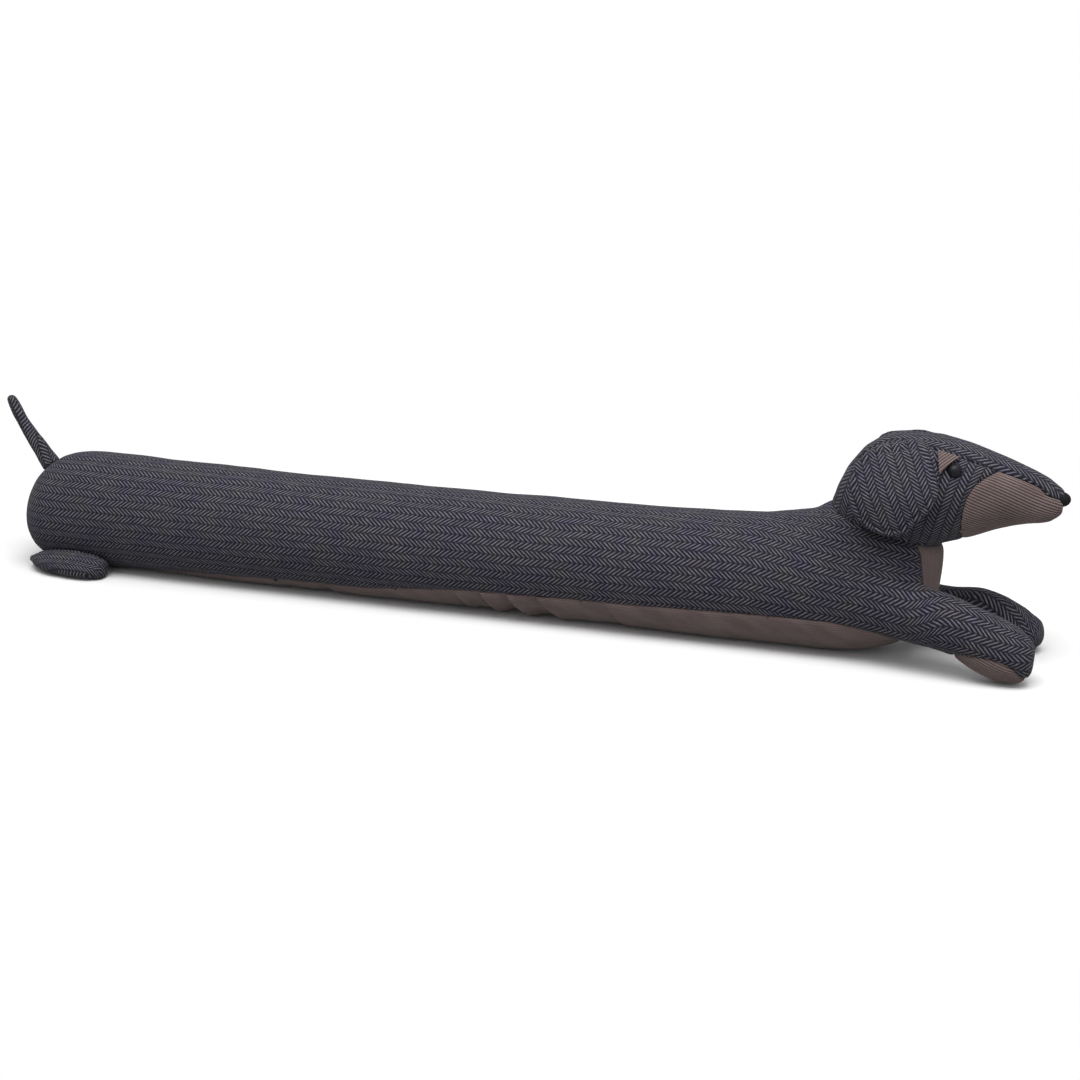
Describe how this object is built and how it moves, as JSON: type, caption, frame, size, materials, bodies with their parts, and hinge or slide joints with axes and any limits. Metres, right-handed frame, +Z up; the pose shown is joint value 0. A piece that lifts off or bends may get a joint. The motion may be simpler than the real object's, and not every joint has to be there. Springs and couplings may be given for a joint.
{
  "type": "draught excluder",
  "caption": "Long filled draught excluder sewn as a lying dog from tweed and corduroy, to lie along the foot of a door or window.",
  "frame": {"origin": "on the floor under the middle of the whole dog", "axes": "+X along the dog from tail to nose, +Z up, the dog's right side towards -Y"},
  "size_m": [0.9929, 0.133, 0.188],
  "materials": {
    "tweed": "grey-blue wool herringbone, matt",
    "corduroy": "grey-brown ribbed cotton pile, matt with a soft sheen on the ribs",
    "eye": "black, soft gloss",
    "nose": "black stitched thread"
  },
  "bodies": {
    "root": {"body": "tweed", "belly_gusset": "corduroy", "sole_right": "corduroy", "sole_left": "corduroy", "head_top": "tweed", "head_side_right": "tweed", "head_side_left": "tweed", "muzzle_right": "corduroy", "muzzle_left": "corduroy", "chin": "corduroy", "ear_right": "tweed", "ear_left": "tweed", "eyelid_right": "corduroy", "eyelid_left": "corduroy", "eye_right": "eye", "eye_left": "eye", "nose": "nose", "hind_paw_right": "tweed", "hind_paw_left": "tweed", "tail": "tweed"}
  },
  "joints": []
}
